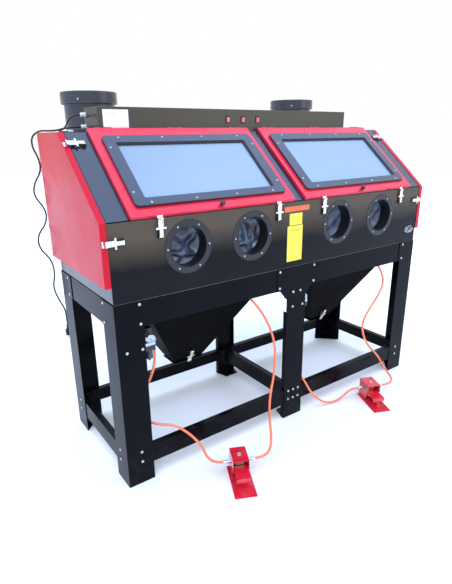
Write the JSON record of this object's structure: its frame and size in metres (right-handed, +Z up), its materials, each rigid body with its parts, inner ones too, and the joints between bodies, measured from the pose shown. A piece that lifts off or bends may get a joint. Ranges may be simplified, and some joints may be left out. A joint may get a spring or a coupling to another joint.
{
  "type": "sandblast cabinet",
  "caption": "Wide floor-standing sandblast cabinet on a folded steel stand: two hinged windows, glove ports, side doors, hoppers, rear dust collectors, light box and foot pedals.",
  "frame": {"origin": "middle of the stand's footprint, on the floor", "axes": "+Z up, +X to the operator's right along the cabinet, -Y towards the operator"},
  "size_m": [1.925, 1.2509, 1.588],
  "materials": {
    "frame_paint": "glossy dark navy powder coat",
    "shell_paint": "satin grey paint",
    "front_paint": "glossy dark olive paint",
    "red_paint": "glossy red powder coat",
    "hopper_paint": "glossy dark paint",
    "black_paint": "satin black paint",
    "collector_paint": "glossy dark paint",
    "zinc": "bright zinc plate",
    "bare_steel": "bare wire and bar",
    "pedal_paint": "glossy red powder coat, brass valve inside",
    "window_pane": "clear laminated pane",
    "glove_rubber": "smooth black rubber",
    "hose": "translucent orange-red hose",
    "cord": "black cord jacket",
    "gland_plastic": "white nylon",
    "rocker_plastic": "glossy red switch",
    "black_plastic": "moulded black knob",
    "regulator_metal": "die-cast body with clear bowl and round gauge",
    "gun_metal": "cast body with hard nozzle"
  },
  "bodies": {
    "cabinet": {"air_regulators": "regulator_metal", "aprons": "frame_paint", "blast_guns": "gun_metal", "cable_glands": "gland_plastic", "center_legs": "frame_paint", "collector_cable": "cord", "door_hinges": "black_paint", "dust_collectors": "collector_paint", "end_frames": "shell_paint", "frame_bolts": "zinc", "front_panel": "front_paint", "glove_rings": "black_paint", "gloves": "glove_rubber", "gun_hose_left": "hose", "gun_hose_right": "hose", "hopper_left": "hopper_paint", "hopper_right": "hopper_paint", "latch_bases": "zinc", "leg_front_left": "frame_paint", "leg_front_right": "frame_paint", "leg_rear_left": "frame_paint", "leg_rear_right": "frame_paint", "light_box": "shell_paint", "pedal_left": "pedal_paint", "pedal_right": "pedal_paint", "power_cord": "cord", "power_plug": "cord", "rear_shell": "shell_paint", "slope_frame": "shell_paint", "stretchers": "frame_paint", "supply_hose_left": "hose", "supply_hose_right": "hose", "work_grates": "bare_steel"},
    "window_left": {"window_door_left": "red_paint", "window_frame_left": "black_paint", "window_glass_left": "window_pane"},
    "side_door_left": {"side_door_left": "red_paint"},
    "hopper_door_left": {"hopper_door_left": "hopper_paint"},
    "hopper_latch_left": {"hopper_latch_left": "zinc"},
    "side_latch_lower_left": {"side_latch_lower_left": "zinc"},
    "side_latch_upper_left": {"side_latch_upper_left": "zinc"},
    "treadle_left": {"treadle_left": "pedal_paint"},
    "regulator_knob_left": {"regulator_knob_left": "black_plastic"},
    "window_right": {"window_door_right": "red_paint", "window_frame_right": "black_paint", "window_glass_right": "window_pane"},
    "side_door_right": {"side_door_right": "red_paint"},
    "hopper_door_right": {"hopper_door_right": "hopper_paint"},
    "hopper_latch_right": {"hopper_latch_right": "zinc"},
    "side_latch_lower_right": {"side_latch_lower_right": "zinc"},
    "side_latch_upper_right": {"side_latch_upper_right": "zinc"},
    "treadle_right": {"treadle_right": "pedal_paint"},
    "regulator_knob_right": {"regulator_knob_right": "black_plastic"},
    "window_latch_left_outer": {"window_latch_left_outer": "zinc"},
    "window_latch_left_inner": {"window_latch_left_inner": "zinc"},
    "window_latch_right_inner": {"window_latch_right_inner": "zinc"},
    "window_latch_right_outer": {"window_latch_right_outer": "zinc"},
    "rocker_lights": {"rocker_lights": "rocker_plastic"},
    "rocker_collector_left": {"rocker_collector_left": "rocker_plastic"},
    "rocker_collector_right": {"rocker_collector_right": "rocker_plastic"}
  },
  "joints": [
    {"name": "window_left_hinge", "type": "hinge", "parent": "cabinet", "child": "window_left", "pos_m": [-0.427, 0.0495, 1.42411], "axis": [-1, 0, 0], "range_deg": [0, 100]},
    {"name": "side_door_left_hinge", "type": "hinge", "parent": "cabinet", "child": "side_door_left", "pos_m": [-0.9265, 0.326, 1.1375], "axis": [0, 0, -1], "range_deg": [0, 90]},
    {"name": "hopper_door_left_hinge", "type": "hinge", "parent": "cabinet", "child": "hopper_door_left", "pos_m": [-0.457, 0.072, 0.3525], "axis": [1, 0, 0], "range_deg": [0, 85]},
    {"name": "window_right_hinge", "type": "hinge", "parent": "cabinet", "child": "window_right", "pos_m": [0.427, 0.0495, 1.42411], "axis": [-1, 0, 0], "range_deg": [0, 100]},
    {"name": "side_door_right_hinge", "type": "hinge", "parent": "cabinet", "child": "side_door_right", "pos_m": [0.9265, 0.326, 1.1375], "axis": [0, 0, 1], "range_deg": [0, 90]},
    {"name": "hopper_door_right_hinge", "type": "hinge", "parent": "cabinet", "child": "hopper_door_right", "pos_m": [0.457, 0.072, 0.3525], "axis": [1, 0, 0], "range_deg": [0, 85]},
    {"name": "window_latch_left_outer_pull", "type": "hinge", "parent": "cabinet", "child": "window_latch_left_outer", "pos_m": [-0.707, -0.3135, 1.04], "axis": [1, 0, 0], "range_deg": [0, 100]},
    {"name": "window_latch_left_inner_pull", "type": "hinge", "parent": "cabinet", "child": "window_latch_left_inner", "pos_m": [-0.128, -0.3135, 1.04], "axis": [1, 0, 0], "range_deg": [0, 100]},
    {"name": "window_latch_right_inner_pull", "type": "hinge", "parent": "cabinet", "child": "window_latch_right_inner", "pos_m": [0.152, -0.3135, 1.04], "axis": [1, 0, 0], "range_deg": [0, 100]},
    {"name": "window_latch_right_outer_pull", "type": "hinge", "parent": "cabinet", "child": "window_latch_right_outer", "pos_m": [0.737, -0.3135, 1.04], "axis": [1, 0, 0], "range_deg": [0, 100]},
    {"name": "side_latch_lower_left_pull", "type": "hinge", "parent": "cabinet", "child": "side_latch_lower_left", "pos_m": [-0.856, -0.3135, 1.039], "axis": [0, 0, 1], "range_deg": [0, 100]},
    {"name": "side_latch_upper_left_pull", "type": "hinge", "parent": "cabinet", "child": "side_latch_upper_left", "pos_m": [-0.856, -0.01431, 1.37071], "axis": [0, 0.7591, 0.651], "range_deg": [0, 100]},
    {"name": "hopper_latch_left_pull", "type": "hinge", "parent": "cabinet", "child": "hopper_latch_left", "pos_m": [-0.457, -0.08018, 0.40813], "axis": [-1, 0, 0], "range_deg": [0, 100]},
    {"name": "side_latch_lower_right_pull", "type": "hinge", "parent": "cabinet", "child": "side_latch_lower_right", "pos_m": [0.856, -0.3135, 1.039], "axis": [0, 0, -1], "range_deg": [0, 100]},
    {"name": "side_latch_upper_right_pull", "type": "hinge", "parent": "cabinet", "child": "side_latch_upper_right", "pos_m": [0.856, -0.01431, 1.37071], "axis": [0, -0.7591, -0.651], "range_deg": [0, 100]},
    {"name": "hopper_latch_right_pull", "type": "hinge", "parent": "cabinet", "child": "hopper_latch_right", "pos_m": [0.457, -0.08018, 0.40813], "axis": [-1, 0, 0], "range_deg": [0, 100]},
    {"name": "rocker_lights_switch", "type": "hinge", "parent": "cabinet", "child": "rocker_lights", "pos_m": [-0.135, 0.057, 1.461], "axis": [-1, 0, 0], "range_deg": [0, 14]},
    {"name": "rocker_collector_left_switch", "type": "hinge", "parent": "cabinet", "child": "rocker_collector_left", "pos_m": [-0.046, 0.057, 1.461], "axis": [-1, 0, 0], "range_deg": [0, 14]},
    {"name": "rocker_collector_right_switch", "type": "hinge", "parent": "cabinet", "child": "rocker_collector_right", "pos_m": [0.043, 0.057, 1.461], "axis": [-1, 0, 0], "range_deg": [0, 14]},
    {"name": "treadle_left_pivot", "type": "hinge", "parent": "cabinet", "child": "treadle_left", "pos_m": [-0.49555, -0.50958, 0.018], "axis": [0.9026, -0.4305, 0], "range_deg": [0, 8], "stiffness_Nm_per_rad": 3, "springref_deg": -6.88},
    {"name": "treadle_right_pivot", "type": "hinge", "parent": "cabinet", "child": "treadle_right", "pos_m": [0.4566, -0.44403, 0.018], "axis": [0.915, -0.4035, 0], "range_deg": [0, 8], "stiffness_Nm_per_rad": 3, "springref_deg": -6.88},
    {"name": "regulator_knob_left_turn", "type": "hinge", "parent": "cabinet", "child": "regulator_knob_left", "pos_m": [-0.767, -0.266, 0.666], "axis": [0, 0, 1], "range_deg": [0, 1080]},
    {"name": "regulator_knob_right_turn", "type": "hinge", "parent": "cabinet", "child": "regulator_knob_right", "pos_m": [0.067, -0.266, 0.666], "axis": [0, 0, 1], "range_deg": [0, 1080]}
  ]
}
